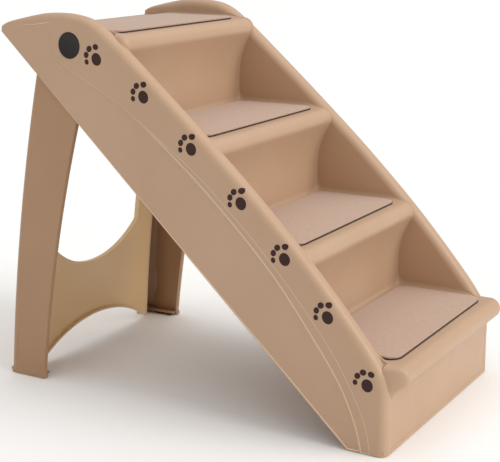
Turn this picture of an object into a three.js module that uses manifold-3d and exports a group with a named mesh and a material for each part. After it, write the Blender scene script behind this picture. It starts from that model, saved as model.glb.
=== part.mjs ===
// Folding pet stair: a moulded body with four treads, carried at the rear by a swinging leg frame.
// Millimetres. X runs across the stair, +Y is the way an animal climbs, +Z is up.
import * as THREE from 'three';
import { mergeVertices } from 'three/addons/utils/BufferGeometryUtils.js';
import Module from 'manifold-3d';

const wasm = await Module();
wasm.setup();

// ---------- driving dimensions ----------
const width = 360; // over the outer faces of the side panels
const wall = 3; // moulded wall
const gap = 0.3; // between pieces that lie on each other
const clearance = 0.5; // between pieces that slide or turn on each other

const stepCount = 4;
const rise = 125.7; // tread to tread
const going = 134.8; // riser to riser
const firstTread = 115; // height of the lowest tread
const riserFront = 1; // front face of the lowest riser
const nosingRadius = 14;
const nosingReach = 22; // front of a nosing ahead of its riser
const coveRadius = 120; // the upper risers sweep forward into their nosings
const lowCoveRadius = 30; // the lowest one turns sharply into its own
const nosingEndDepth = 4;
const nosingEndInset = 7; // ends of the lowest nosing behind the panels' outer faces
const nosingEndRound = 12;
const deckEdgeRadius = 12;
const deckOverhang = 5.4; // top tread's rear edge behind the panels' tails
const tailHeight = 5.4; // a side panel's rear tip above the top tread
const tailDepth = 5; // and its blunt end

const panelThickness = 25; // a side panel over both its walls
const bandDepth = 118; // underside of a side panel below the line through the treads' front corners
const baseClear = 1; // the mouldings' lower edges stand this far off the ground, on the rubber feet
const frontUpright = 48.3; // the panel's front edge is upright to this height
// its front and top edge: in steps along the line through the treads' front corners, and off that line,
const panelRun = [[-0.1, -20.5], [0.04, -9], [0.31, -0.8], [0.85, 8.6], [1.45, 12], [2, 10.5], [2.57, 6.6]];
const panelDip = [8, 4]; // ahead of the top riser and below the deck,
const panelHump = [[-34, 17], [-6, 24], [22, 25.5], [53, 23]]; // behind the pivot and above the deck,
const panelTail = [15, 7.1]; // and ahead of the tail and above it
const edgeSamples = 44; // facets round that edge

const pivotBelowDeck = 15.1;
const pivotBehindRiser = 57.6; // behind the top riser
const armThickness = 3;
const armInset = 5; // outer face of an arm behind the outer face of a side panel
const armLip = 7; // the arm's front edge turns in this far
const footFront = 70.5; // foot's front and rear corners behind the pivot
const footRear = 133;
const shoulderPlace = [66, -38]; // where an arm's rear and front edges start, from the pivot
const frontTopPlace = [-4, -101.5];
const edgeBow = 17; // how far the arms' gently bowed edges are drawn to the rear
const edgeSegments = 12;
const headEndTurn = 0.16; // where the arm's rear edge leaves its round head, above level
const stopThickness = 4; // stop for the arm in the body
const columnWidth = 32; // hollow column along an arm's rear, across the stair
const panelEdge = 70; // upright side of the round opening, in from an arm's outer face
const wallStart = 0.04; // the arm's rear and side walls start this far down its edge, of the whole
const lipStart = 0.06; // and its front lip this far
const panelSetInFoot = 18; // cross panel ahead of the arms' rear edges, at the foot
const panelSetInTop = 11; // and at the top
const openingRadius = 150;
const openingCentre = 281; // height of the round opening's centre
const archHeight = 47;
const archHalfWidth = 141;

const buttonRadius = 17.2;
const buttonTravel = 4;
const buttonProud = 0.6;
const buttonDepth = 8.3; // thickness of the button's cap
const stemRadius = 4.6;
const socketWall = 4; // round the bore in which the button slides
const gearThickness = 5;
const toothCount = 8;
const toothHeight = 2.4;
const toothWidth = 5;
const hubWall = 7; // of the arm's ring round the socket
const hubFloor = 1.8; // the spring rests on it
const toothRoom = 0.7; // round the teeth in the arm's hub
const washerRadius = 10;
const washerThickness = 1.5;
const screwHeadRadius = 4.5;
const screwHeadHeight = 2.6;
const screwRadius = 1.9;
const screwLength = 9;
const earRadius = 30; // round ears inside the hubs
const springRadius = 9.5;
const springWire = 2.2;

const padWidth = 294;
const padDepth = 124;
const padThickness = 2.2;
const backingThickness = 1.2;
const backingMargin = 1; // the dark backing shows this much round the pad
const padCorner = 16;
const padSetback = 2; // pad's front edge behind the riser's front face
const ribDepth = 9;
const ribThickness = 2.5;
const ribSpacing = 80;
const footPadLength = 34;
const footPadWidth = 11;
const footPadHeight = 3.7;
const footPlate = 3;
const footPlateLength = 44;

// ---------- places worked out from them ----------
const halfWidth = width / 2;
const panelInner = halfWidth - panelThickness; // inner face of a side panel
const channelInner = panelInner + wall; // the channel inside a side panel
const channelOuter = halfWidth - wall;
const treadTop = (k) => firstTread + k * rise;
const riserAt = (k) => riserFront + k * going;
const topStep = stepCount - 1;
const beyond = 30; // how far a cut runs past what it opens
const deckTop = treadTop(topStep);
const pivot = new THREE.Vector2(riserAt(topStep) + pivotBehindRiser, deckTop - pivotBelowDeck);
const armOuter = halfWidth - armInset;
const armInner = armOuter - armThickness;
const socketInner = halfWidth + buttonProud - buttonDepth - buttonTravel; // inner end of the body's socket
const boreRadius = buttonRadius + gap;
const gearRadius = buttonRadius - gap;
const toothTip = gearRadius + toothHeight;
const socketRadius = boreRadius + socketWall;
const pocketRadius = toothTip + toothRoom;
const earHole = stemRadius + clearance;

// A point on the pitch line: along in steps from the lowest tread's front corner, off the line in millimetres.
const pitch = new THREE.Vector2(going, rise);
const pitchUnit = pitch.clone().normalize();
function onPitch(along, off) {
  return new THREE.Vector2(
    riserFront + along * going - pitchUnit.y * off,
    firstTread + along * rise + pitchUnit.x * off,
  );
}

const tailOff = tailDepth - bandDepth;
const tail = onPitch((deckTop + tailHeight - firstTread - pitchUnit.x * tailOff) / rise, tailOff);
const deckRear = tail.x + deckOverhang;

// ---------- solids ----------
function toManifold(geometry) {
  const bare = geometry.clone();
  bare.deleteAttribute('normal');
  bare.deleteAttribute('uv');
  const merged = mergeVertices(bare, 1e-4);
  return new wasm.Manifold(new wasm.Mesh({
    numProp: 3,
    vertProperties: new Float32Array(merged.attributes.position.array),
    triVerts: new Uint32Array(merged.index.array),
  }));
}

function toGeometry(solid) {
  const mesh = solid.getMesh();
  const geometry = new THREE.BufferGeometry();
  geometry.setAttribute('position', new THREE.BufferAttribute(new Float32Array(mesh.vertProperties), 3));
  geometry.setIndex(new THREE.BufferAttribute(new Uint32Array(mesh.triVerts), 1));
  geometry.computeVertexNormals();
  return geometry;
}

// A Y-Z outline extruded along X, from x0 to x1.
function acrossX(outline, x0, x1) {
  const geometry = new THREE.ExtrudeGeometry(outline, { depth: x1 - x0, bevelEnabled: false });
  const turn = new THREE.Matrix4().set(0, 0, 1, x0, 1, 0, 0, 0, 0, 1, 0, 0, 0, 0, 0, 1);
  return toManifold(geometry.applyMatrix4(turn));
}

// An X-Z outline extruded along Y, from y0 to y1.
function alongY(outline, y0, y1) {
  const geometry = new THREE.ExtrudeGeometry(outline, { depth: y1 - y0, bevelEnabled: false });
  const turn = new THREE.Matrix4().set(1, 0, 0, 0, 0, 0, -1, y1, 0, 1, 0, 0, 0, 0, 0, 1);
  return toManifold(geometry.applyMatrix4(turn));
}

// An X-Y outline extruded upwards, from z0 to z1.
function upZ(outline, z0, z1) {
  const geometry = new THREE.ExtrudeGeometry(outline, { depth: z1 - z0, bevelEnabled: false, curveSegments: 4 });
  return toManifold(geometry.translate(0, 0, z0));
}

function box(x0, x1, y0, y1, z0, z1) {
  const geometry = new THREE.BoxGeometry(x1 - x0, y1 - y0, z1 - z0);
  return toManifold(geometry.translate((x0 + x1) / 2, (y0 + y1) / 2, (z0 + z1) / 2));
}

// A turned piece on an axis along X: pairs of radius and x.
function turned(profile, axis, segments) {
  const points = profile.map(([radius, x]) => new THREE.Vector2(radius, x));
  const geometry = new THREE.LatheGeometry(points, segments);
  const turn = new THREE.Matrix4().set(0, 1, 0, 0, 0, 0, 1, axis.x, 1, 0, 0, axis.y, 0, 0, 0, 1);
  return toManifold(geometry.applyMatrix4(turn));
}

const onPivot = (profile, segments = 28) => turned(profile, pivot, segments);

function rodOnPivot(radius, x0, x1, segments = 28) {
  return onPivot([[0, x0], [radius, x0], [radius, x1], [0, x1]], segments);
}

function ringOnPivot(inner, outer, x0, x1, segments = 28) {
  return onPivot([[inner, x0], [outer, x0], [outer, x1], [inner, x1], [inner, x0]], segments);
}

// The same solid on the other side of the stair.
const mirrorX = new THREE.Matrix4().makeScale(-1, 1, 1);
function mirrored(solid) {
  const geometry = toGeometry(solid).applyMatrix4(mirrorX);
  const index = geometry.index.array;
  for (let i = 0; i < index.length; i += 3) {
    const first = index[i];
    index[i] = index[i + 1];
    index[i + 1] = first;
  }
  return toManifold(geometry);
}

const bothSides = (solid) => solid.add(mirrored(solid));

// ---------- stair body ----------
// A side panel's outline. Its front and top edge is drawn in by inset; underside and base can be let out.
function panelOutline(inset, letOut) {
  const edge = new THREE.SplineCurve([
    new THREE.Vector2(riserFront - 1, baseClear),
    new THREE.Vector2(riserFront - 0.5, frontUpright),
    ...panelRun.map(([along, off]) => onPitch(along, off)),
    new THREE.Vector2(riserAt(topStep) - panelDip[0], deckTop - panelDip[1]),
    ...panelHump.map(([behind, above]) => new THREE.Vector2(pivot.x + behind, deckTop + above)),
    new THREE.Vector2(tail.x - panelTail[0], tail.y + panelTail[1]),
    tail,
  ]);
  const outline = [];
  for (let i = 0; i <= edgeSamples; i += 1) {
    const point = edge.getPoint(i / edgeSamples);
    const tangent = edge.getTangent(i / edgeSamples);
    outline.push(new THREE.Vector2(point.x + tangent.y * inset, point.y - tangent.x * inset));
  }
  const under = -(bandDepth + letOut);
  const base = baseClear - letOut;
  // the underside runs parallel to the pitch line and meets the base
  const foot = onPitch(0, under);
  const reach = (base - foot.y) / rise;
  outline.push(onPitch((tail.x + letOut - foot.x) / going, under));
  outline.push(onPitch(reach, under));
  if (letOut > 0) {
    outline.push(new THREE.Vector2(riserFront - 1 + inset, base));
  }
  return new THREE.Shape(outline);
}

const around = (centre, radius, turn) => new THREE.Vector2(
  centre.x + radius * Math.cos(turn),
  centre.y + radius * Math.sin(turn),
);

const nosingCentre = (k) => new THREE.Vector2(
  riserAt(k) - nosingReach + nosingRadius,
  treadTop(k) - nosingRadius,
);

// The outer face of the bent sheet of risers, nosings and treads.
function stepSheetPath() {
  const path = [new THREE.Vector2(riserFront, baseClear)];
  const rollSegments = 9;
  const coveSegments = 6;
  for (let k = 0; k < stepCount; k += 1) {
    const centre = nosingCentre(k);
    // the sweep is tangent to the riser and to the nosing
    const sweep = k === 0 ? lowCoveRadius : coveRadius;
    const coveY = riserAt(k) - sweep;
    const ahead = centre.x - coveY;
    const drop = Math.sqrt((nosingRadius + sweep) ** 2 - ahead ** 2);
    const meet = Math.atan2(drop, ahead);
    for (let i = 0; i < coveSegments; i += 1) {
      const turn = (i / coveSegments) * meet;
      path.push(around(new THREE.Vector2(coveY, centre.y - drop), sweep, turn));
    }
    for (let i = 0; i <= rollSegments; i += 1) {
      const turn = meet - Math.PI - (i / rollSegments) * (meet + Math.PI / 2);
      path.push(around(centre, nosingRadius, turn));
    }
    if (k < topStep) {
      path.push(new THREE.Vector2(riserAt(k + 1), treadTop(k)));
    }
  }
  for (let i = 0; i <= 6; i += 1) {
    const turn = Math.PI / 2 - (i / 6) * (Math.PI / 2);
    path.push(around(new THREE.Vector2(deckRear - deckEdgeRadius, deckTop - deckEdgeRadius), deckEdgeRadius, turn));
  }
  path.push(new THREE.Vector2(deckRear, deckTop - 2 * deckEdgeRadius));
  return path;
}

// The end of a nosing: a plain plug against the side panel, or a rounded end on the lowest nosing,
// which stands in front of the panels.
function nosingEnd(k) {
  const start = panelInner - nosingEndDepth;
  if (k > 0) {
    return turned([
      [0, start], [nosingRadius, start], [nosingRadius, panelInner + wall / 2], [0, panelInner + wall / 2],
    ], nosingCentre(k), 20);
  }
  const profile = [[0, start], [nosingRadius, start]];
  for (let i = 0; i <= 4; i += 1) {
    const turn = (i / 4) * (Math.PI / 2);
    profile.push([
      i < 4 ? nosingRadius * Math.cos(turn) : 0,
      halfWidth - nosingEndInset - nosingEndRound * (1 - Math.sin(turn)),
    ]);
  }
  return turned(profile, nosingCentre(k), 20);
}

// A path moved sideways by a distance, with mitred corners.
function offsetPath(path, distance) {
  return path.map((point, i) => {
    const before = path[Math.max(i - 1, 0)];
    const after = path[Math.min(i + 1, path.length - 1)];
    const into = point.clone().sub(i > 0 ? before : point);
    const out = after.clone().sub(i < path.length - 1 ? point : after);
    if (i === 0) into.copy(out);
    if (i === path.length - 1) out.copy(into);
    into.normalize();
    out.normalize();
    const normal = new THREE.Vector2(into.y + out.y, -into.x - out.x).normalize();
    const stretch = distance / (normal.x * into.y - normal.y * into.x);
    return new THREE.Vector2(point.x + normal.x * stretch, point.y + normal.y * stretch);
  });
}

function stairBody() {
  const outer = acrossX(panelOutline(0, 0), panelInner, halfWidth);
  const channel = acrossX(panelOutline(wall, beyond), channelInner, channelOuter);
  const path = stepSheetPath();
  const inner = offsetPath(path, wall);
  const sheet = acrossX(new THREE.Shape([...path, ...inner.reverse()]), -channelInner, channelInner);

  // below the step sheet there is no inner wall, so that the folded leg can lie there
  const below = offsetPath(path, wall / 2);
  const hollow = new THREE.Shape([
    ...below,
    new THREE.Vector2(deckRear + beyond, deckTop - 2 * deckEdgeRadius),
    new THREE.Vector2(deckRear + beyond, baseClear - beyond),
    new THREE.Vector2(below[0].x, baseClear - beyond),
  ]);
  const underSteps = acrossX(hollow, 0, channelInner + 0.01);
  const side = outer.subtract(channel).subtract(underSteps);

  // round ear under the deck and socket on the outer wall: the arm's hub turns between them
  const ear = rodOnPivot(earRadius, panelInner, channelInner)
    .intersect(box(0, halfWidth, pivot.x - 50, pivot.x + 50, pivot.y - 50, deckTop - wall / 2));
  const socket = rodOnPivot(socketRadius, socketInner, channelOuter + wall / 2);
  const bore = rodOnPivot(boreRadius, socketInner - 1, halfWidth + 1);

  // stop for the arm, across the channel behind its shoulder
  const stop = armStop();
  const plate = box(
    channelInner - wall, channelOuter + wall / 2,
    riserFront + wall / 2, riserFront + footPlateLength,
    footPadHeight + gap, footPadHeight + gap + footPlate,
  );
  const halfBody = side.add(ear).add(socket).add(stop).add(plate)
    .subtract(bore)
    .subtract(socketTeeth())
    .subtract(rodOnPivot(earHole, 0, channelInner + 1));

  const pieces = [];
  for (let k = 0; k < stepCount; k += 1) {
    pieces.push(bothSides(nosingEnd(k)));
  }
  for (let k = 1; k < stepCount; k += 1) {
    const ribEnd = k < topStep ? riserAt(k + 1) + wall / 2 : deckRear - wall / 2;
    for (const x of [-ribSpacing, 0, ribSpacing]) {
      pieces.push(box(
        x - ribThickness / 2, x + ribThickness / 2,
        riserAt(k) + wall / 2, ribEnd,
        treadTop(k) - wall - ribDepth, treadTop(k) - wall / 2,
      ));
    }
  }
  return pieces.reduce((body, piece) => body.add(piece), sheet.add(bothSides(halfBody)));
}

// Grooves in the body's socket, which hold the lock gear's teeth.
function socketTeeth() {
  return gearTeeth(toothTip + clearance, toothWidth + 2 * gap, socketInner - 1, halfWidth + buttonProud - buttonDepth);
}

function gearTeeth(tip, across, x0, x1) {
  const teeth = [];
  for (let i = 0; i < toothCount / 2; i += 1) {
    const turn = (i / toothCount) * 2 * Math.PI;
    const bar = new THREE.BoxGeometry(x1 - x0, across, 2 * tip);
    bar.rotateX(turn).translate((x0 + x1) / 2, pivot.x, pivot.y);
    teeth.push(toManifold(bar));
  }
  return teeth.reduce((all, tooth) => all.add(tooth));
}

// ---------- leg frame ----------
const shoulder = new THREE.Vector2(pivot.x + shoulderPlace[0], pivot.y + shoulderPlace[1]);
const frontTop = new THREE.Vector2(pivot.x + frontTopPlace[0], pivot.y + frontTopPlace[1]);
const rearFoot = new THREE.Vector2(pivot.x + footRear, baseClear);
const frontFoot = new THREE.Vector2(pivot.x + footFront, baseClear);

function bowed(top, foot) {
  const middle = top.clone().add(foot).multiplyScalar(0.5);
  return new THREE.QuadraticBezierCurve(top, new THREE.Vector2(middle.x + edgeBow, middle.y), foot);
}

const rearEdge = bowed(shoulder, rearFoot);
const frontEdge = bowed(frontTop, frontFoot);
const hubRadius = socketRadius + clearance + hubWall;
const headEnd = around(pivot, hubRadius, headEndTurn);

function armOutline() {
  const outline = rearEdge.getPoints(edgeSegments);
  outline.push(...frontEdge.getPoints(edgeSegments).reverse());
  const headSegments = 12;
  for (let i = 0; i < headSegments; i += 1) {
    outline.push(around(pivot, hubRadius, Math.PI - (i / headSegments) * (Math.PI - headEndTurn)));
  }
  outline.push(headEnd);
  return new THREE.Shape(outline.reverse());
}

// A strip along an edge of the arm, between two distances ahead of it; a distance may change along the edge.
function strip(curve, near, far, from = 0, to = 1) {
  const side = (ahead) => {
    const points = [];
    for (let i = 0; i <= edgeSegments; i += 1) {
      const t = from + (i / edgeSegments) * (to - from);
      const point = curve.getPoint(t);
      points.push(new THREE.Vector2(point.x - ahead(t), point.y));
    }
    return points;
  };
  return new THREE.Shape([...side(near), ...side(far).reverse()]);
}

const panelFront = (t) => panelSetInTop + (panelSetInFoot - panelSetInTop) * t;
const panelBack = (t) => panelFront(t) - armThickness;

// The stop is a flat rib across the channel, along the arm's edge between its head and its shoulder.
function armStop() {
  const along = shoulder.clone().sub(headEnd);
  const middle = headEnd.clone().lerp(shoulder, 0.55);
  const rib = new THREE.BoxGeometry(channelOuter - channelInner + wall, along.length() / 2, stopThickness);
  rib.translate(0, 0, clearance + stopThickness / 2);
  rib.rotateX(Math.atan2(along.y, along.x));
  rib.translate((channelOuter + channelInner) / 2, middle.x, middle.y);
  return toManifold(rib);
}

function legFrame() {
  const web = acrossX(armOutline(), armInner, armOuter);
  const lip = acrossX(strip(frontEdge, () => 0, () => -armThickness, lipStart), armOuter - armLip, armOuter - 0.5);
  const rearWall = acrossX(strip(rearEdge, () => 0, () => armThickness, wallStart), armOuter - columnWidth, armOuter - 0.5);
  const sideWall = acrossX(
    strip(rearEdge, () => 1, (t) => panelFront(t) - 1, wallStart),
    armOuter - columnWidth, armOuter - columnWidth + armThickness,
  );
  const ring = ringOnPivot(socketRadius + clearance, hubRadius, socketInner - gap - clearance, armOuter);
  const cupDepth = socketInner - gap - clearance;
  const cup = ringOnPivot(pocketRadius, hubRadius, channelInner + clearance, cupDepth + 0.01);
  const floor = ringOnPivot(earHole, pocketRadius + 1, channelInner + clearance, channelInner + clearance + hubFloor);
  const plate = box(
    channelInner, armInner + 1,
    frontFoot.x + 2, rearFoot.x - panelSetInFoot + 1,
    footPadHeight + gap, footPadHeight + gap + footPlate,
  );
  const arm = web.subtract(rodOnPivot(socketRadius + clearance, armInner - 1, armOuter + 1))
    .add(ring).add(cup).add(floor).add(lip).add(rearWall).add(sideWall).add(plate);

  const sheet = acrossX(strip(rearEdge, panelFront, panelBack, wallStart), -armOuter + 1, armOuter - 1);
  const openingHalf = armOuter - panelEdge;
  const circle = new THREE.Shape().absarc(0, openingCentre, openingRadius, 0, 2 * Math.PI);
  const far = rearFoot.x + 100;
  const opening = alongY(circle, frontTop.x, far)
    .intersect(box(-openingHalf, openingHalf, frontTop.x, far, 0, pivot.y));
  const aboveOpening = box(-openingHalf, openingHalf, frontTop.x, far, openingCentre, pivot.y);
  const archRadius = (archHalfWidth ** 2 + archHeight ** 2) / (2 * archHeight);
  const archShape = new THREE.Shape().absarc(0, baseClear + archHeight - archRadius, archRadius, 0, 2 * Math.PI);
  const arch = alongY(archShape, frontTop.x, far)
    .intersect(box(-archHalfWidth, archHalfWidth, frontTop.x, far, -1, archHeight + 2));
  return sheet.subtract(opening).subtract(aboveOpening).subtract(arch).add(bothSides(arm));
}

// ---------- treads' pads ----------
function roundedPlate(x, y, w, d, corner) {
  const shape = new THREE.Shape();
  shape.moveTo(x - w / 2 + corner, y);
  shape.lineTo(x + w / 2 - corner, y);
  shape.absarc(x + w / 2 - corner, y + corner, corner, -Math.PI / 2, 0);
  shape.lineTo(x + w / 2, y + d - corner);
  shape.absarc(x + w / 2 - corner, y + d - corner, corner, 0, Math.PI / 2);
  shape.lineTo(x - w / 2 + corner, y + d);
  shape.absarc(x - w / 2 + corner, y + d - corner, corner, Math.PI / 2, Math.PI);
  shape.lineTo(x - w / 2, y + corner);
  shape.absarc(x - w / 2 + corner, y + corner, corner, Math.PI, 1.5 * Math.PI);
  return shape;
}

function padBacking(k) {
  const front = riserAt(k) + padSetback - backingMargin;
  const plate = roundedPlate(0, front, padWidth + 2 * backingMargin, padDepth + 2 * backingMargin,
    padCorner + backingMargin);
  const bottom = treadTop(k) + gap;
  return upZ(plate, bottom, bottom + backingThickness);
}

function treadPad(k) {
  const bottom = treadTop(k) + 2 * gap + backingThickness;
  const plate = roundedPlate(0, riserAt(k) + padSetback, padWidth, padDepth, padCorner);
  return upZ(plate, bottom, bottom + padThickness);
}

// ---------- what is inside a hub ----------
const capOuter = halfWidth + buttonProud;
const capInner = capOuter - buttonDepth;
const gearOuter = capInner - gap;
const gearInner = gearOuter - gearThickness;
const washerOuter = panelInner - gap;
const stemEnd = panelInner + gap;
const springInner = channelInner + clearance + hubFloor + gap;

function releaseButton() {
  const dish = 1; // the cap's face is slightly hollow
  const cap = onPivot([
    [0, capInner], [buttonRadius, capInner], [buttonRadius, capOuter - 1], [buttonRadius - 1, capOuter],
    [buttonRadius - 3, capOuter - 0.2], [0, capOuter - dish],
  ]);
  const stem = rodOnPivot(stemRadius, stemEnd, capInner + 1, 24);
  return cap.add(stem).subtract(rodOnPivot(screwRadius + gap, stemEnd - 1, stemEnd + screwLength, 24));
}

function lockGear() {
  return rodOnPivot(gearRadius, gearInner, gearOuter)
    .add(gearTeeth(toothTip, toothWidth, gearInner, gearOuter))
    .subtract(rodOnPivot(stemRadius + gap, gearInner - 1, gearOuter + 1, 24));
}

function buttonSpring() {
  return ringOnPivot(springRadius - springWire / 2, springRadius + springWire / 2, springInner, gearInner - gap, 24);
}

function retainingWasher() {
  return ringOnPivot(screwRadius + gap, washerRadius, washerOuter - washerThickness, washerOuter, 32);
}

function retainingScrew() {
  const seat = washerOuter - washerThickness - gap;
  return onPivot([
    [0, seat - screwHeadHeight], [screwHeadRadius, seat - screwHeadHeight], [screwHeadRadius, seat],
    [screwRadius, seat], [screwRadius, seat + screwLength], [0, seat + screwLength],
  ], 24);
}

// ---------- rubber feet ----------
function rubberFoot(x, front) {
  const plate = roundedPlate(x, front, footPadWidth, footPadLength, 3);
  return upZ(plate, 0, footPadHeight);
}

// ---------- materials ----------
function finish(colour, roughness, metalness = 0) {
  return new THREE.MeshStandardMaterial({ color: colour, roughness, metalness });
}

const tanPlastic = finish(0xc4a88c, 0.55);
const feltTan = finish(0xbf9f87, 0.95);
const darkRubber = finish(0x2c2321, 0.8);
const darkButton = finish(0x2f2121, 0.35);
const blackNylon = finish(0x26262a, 0.5);
const zincSteel = finish(0xb9bcc0, 0.35, 1);

// ---------- the assembly ----------
const model = new THREE.Group();

function place(name, solid, material) {
  const mesh = new THREE.Mesh(toGeometry(solid), material.clone());
  mesh.name = name;
  model.add(mesh);
}

place('stair_body', stairBody(), tanPlastic);
place('leg_frame', legFrame(), tanPlastic);
for (let k = 0; k < stepCount; k += 1) {
  place(`pad_backing_${k + 1}`, padBacking(k), darkRubber);
  place(`tread_pad_${k + 1}`, treadPad(k), feltTan);
}
const hubPieces = {
  release_button: [releaseButton(), darkButton],
  lock_gear: [lockGear(), blackNylon],
  button_spring: [buttonSpring(), zincSteel],
  retaining_washer: [retainingWasher(), zincSteel],
  retaining_screw: [retainingScrew(), zincSteel],
  front_foot: [rubberFoot((channelInner + channelOuter) / 2, riserFront + 6), darkRubber],
  rear_foot: [rubberFoot((channelInner + armInner) / 2 + 0.5, frontFoot.x + 6), darkRubber],
};
for (const [name, [solid, material]] of Object.entries(hubPieces)) {
  place(`${name}_right`, solid, material);
  place(`${name}_left`, mirrored(solid), material);
}

// The origin is under the middle of the whole stair, on the ground.
const bounds = new THREE.Box3().setFromObject(model);
const middle = bounds.getCenter(new THREE.Vector3());
model.position.set(-middle.x, -middle.y, -bounds.min.z);
model.updateMatrixWorld(true);

export default model;
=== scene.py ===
import math
import bmesh
import bpy
from mathutils import Matrix, Vector


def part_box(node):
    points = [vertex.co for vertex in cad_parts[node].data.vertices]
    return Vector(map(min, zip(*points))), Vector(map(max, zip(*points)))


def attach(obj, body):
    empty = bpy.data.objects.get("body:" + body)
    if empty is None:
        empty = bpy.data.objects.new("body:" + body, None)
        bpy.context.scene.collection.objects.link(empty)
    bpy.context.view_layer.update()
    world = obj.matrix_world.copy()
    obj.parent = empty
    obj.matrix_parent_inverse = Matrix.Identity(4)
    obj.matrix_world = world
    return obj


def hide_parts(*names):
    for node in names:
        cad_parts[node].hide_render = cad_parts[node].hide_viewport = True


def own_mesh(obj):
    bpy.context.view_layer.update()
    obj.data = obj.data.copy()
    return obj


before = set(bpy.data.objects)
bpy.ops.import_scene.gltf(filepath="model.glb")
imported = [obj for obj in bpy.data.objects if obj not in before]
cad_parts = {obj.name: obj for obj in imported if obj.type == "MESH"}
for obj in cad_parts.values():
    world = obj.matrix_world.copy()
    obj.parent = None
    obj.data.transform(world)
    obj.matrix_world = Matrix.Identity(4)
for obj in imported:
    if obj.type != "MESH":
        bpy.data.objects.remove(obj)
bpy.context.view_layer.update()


def mmBox(node):
    low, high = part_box(node)
    return Vector(low) * 1000, Vector(high) * 1000


# where things are, from the frame
gap = 0.3  # between pieces that lie on each other
padLow = [mmBox(f"pad_backing_{k}")[0] for k in (1, 2, 3, 4)]
treads = [low.z - gap for low in padLow]
risers = [low.y - 1.0 for low in padLow]  # each backing starts 1 behind its riser's face
rise = treads[1] - treads[0]
going = risers[1] - risers[0]
pitch = Vector((going, rise)).normalized()
buttonLow, buttonHigh = mmBox("release_button_right")
pivot = (buttonLow + buttonHigh) / 2  # the leg turns on the line through both buttons
stairLow, stairHigh = mmBox("stair_body")
panelOut = stairHigh.x  # outer face of a side panel
baseZ = stairLow.z


def onPitch(steps, off):
    # steps along the line through the risers' tops, off it in millimetres
    return (risers[0] + steps * going - pitch.y * off, treads[0] + steps * rise + pitch.x * off)


def smoothLine(points, perSpan):
    # an even curve through the points
    ends = [points[0], *points, points[-1]]
    line = []
    for i in range(len(points) - 1):
        a, b, c, d = (Vector(p) for p in ends[i:i + 4])
        for j in range(perSpan):
            t = j / perSpan
            line.append(0.5 * (2 * b + (c - a) * t + (2 * a - 5 * b + 4 * c - d) * t ** 2
                               + (3 * b - a - 3 * c + d) * t ** 3))
    return line + [Vector(points[-1])]


def around(centre, radius, degrees):
    turn = math.radians(degrees)
    return Vector((centre[0] + radius * math.cos(turn), centre[1] + radius * math.sin(turn)))


def smoothStep(value, low, high):
    t = min(max((value - low) / (high - low), 0.0), 1.0)
    return t * t * (3 - 2 * t)


def toLinear(code):
    parts = [int(code[i:i + 2], 16) / 255 for i in (1, 3, 5)]
    return [c / 12.92 if c <= 0.04045 else ((c + 0.055) / 1.055) ** 2.4 for c in parts] + [1.0]


def addNode(tree, kind, inputs=None, **settings):
    node = tree.nodes.new(kind)
    for key, value in settings.items():
        setattr(node, key, value)
    for socket, value in (inputs or {}).items():
        if isinstance(value, bpy.types.NodeSocket):
            tree.links.new(value, node.inputs[socket])
        else:
            node.inputs[socket].default_value = value
    return node


def startMaterial(name, roughness, ior=1.5, metallic=0.0):
    material = bpy.data.materials.new(name)
    material.use_nodes = True
    tree = material.node_tree
    shader = tree.nodes["Principled BSDF"]
    shader.inputs["Roughness"].default_value = roughness
    shader.inputs["IOR"].default_value = ior
    shader.inputs["Metallic"].default_value = metallic
    where = addNode(tree, "ShaderNodeTexCoord").outputs["Object"]
    return material, tree, shader, where


def perMetre(size):
    # a pattern's scale from the size of its marks in millimetres
    return 1000 / size


def twoTone(tree, shader, factor, first, second):
    mix = addNode(tree, "ShaderNodeMix", {"Factor": factor}, data_type="RGBA")
    for socket in mix.inputs:
        if socket.type == "RGBA":
            socket.default_value = toLinear(first if socket.name == "A" else second)
    colour = next(s for s in mix.outputs if s.type == "RGBA")
    tree.links.new(colour, shader.inputs["Base Color"])


polypropylene = {
    "light": "#c3a285", "deep": "#b99779",
    "shadedLegLight": "#b08b6a", "shadedLegDeep": "#a67f5d",  # painted shade: the leg's copy of the same plastic is darker and more orange, standing in for the shade the arms sit in
    "paintedLitLight": "#f2cf9f", "paintedLitDeep": "#e9c491",  # painted light: the cross panel's copy of the plastic is much paler, standing in for light that passes through and onto it
    "highlightLight": "#e3c9ad", "highlightDeep": "#d6b999",  # painted highlight: shell rims and step walls get a paler copy of the plastic
    "roughness": 0.42, "ior": 1.49,
    "toneSize": 90.0,  # mm, slow drift of colour in the moulding
    "grainSize": 0.9,  # mm, spark-eroded grain of the mould
    "flowSize": 14.0,  # mm, faint unevenness over ribs and bosses
    "grainDepth": 0.08, "flowDepth": 0.3,
}


def mouldedPolypropylene(name, light, deep):
    # opaque tan polypropylene: a broad soft gloss, broken by a fine even grain
    kit = polypropylene
    material, tree, shader, where = startMaterial(name, kit["roughness"], kit["ior"])
    tone = addNode(tree, "ShaderNodeTexNoise", {
        "Vector": where, "Scale": perMetre(kit["toneSize"]), "Detail": 3.0})
    twoTone(tree, shader, tone.outputs["Fac"], deep, light)
    flow = addNode(tree, "ShaderNodeTexNoise", {
        "Vector": where, "Scale": perMetre(kit["flowSize"]), "Detail": 1.0})
    grain = addNode(tree, "ShaderNodeTexNoise", {
        "Vector": where, "Scale": perMetre(kit["grainSize"]), "Detail": 2.0})
    polish = addNode(tree, "ShaderNodeMapRange", {
        "Value": flow.outputs["Fac"], "To Min": kit["roughness"] - 0.05, "To Max": kit["roughness"] + 0.07})
    tree.links.new(polish.outputs["Result"], shader.inputs["Roughness"])
    soft = addNode(tree, "ShaderNodeBump", {
        "Height": flow.outputs["Fac"], "Strength": 0.25, "Distance": kit["flowDepth"] / 1000})
    fine = addNode(tree, "ShaderNodeBump", {
        "Height": grain.outputs["Fac"], "Strength": 0.30, "Distance": kit["grainDepth"] / 1000,
        "Normal": soft.outputs["Normal"]})
    tree.links.new(fine.outputs["Normal"], shader.inputs["Normal"])
    return material


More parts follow.
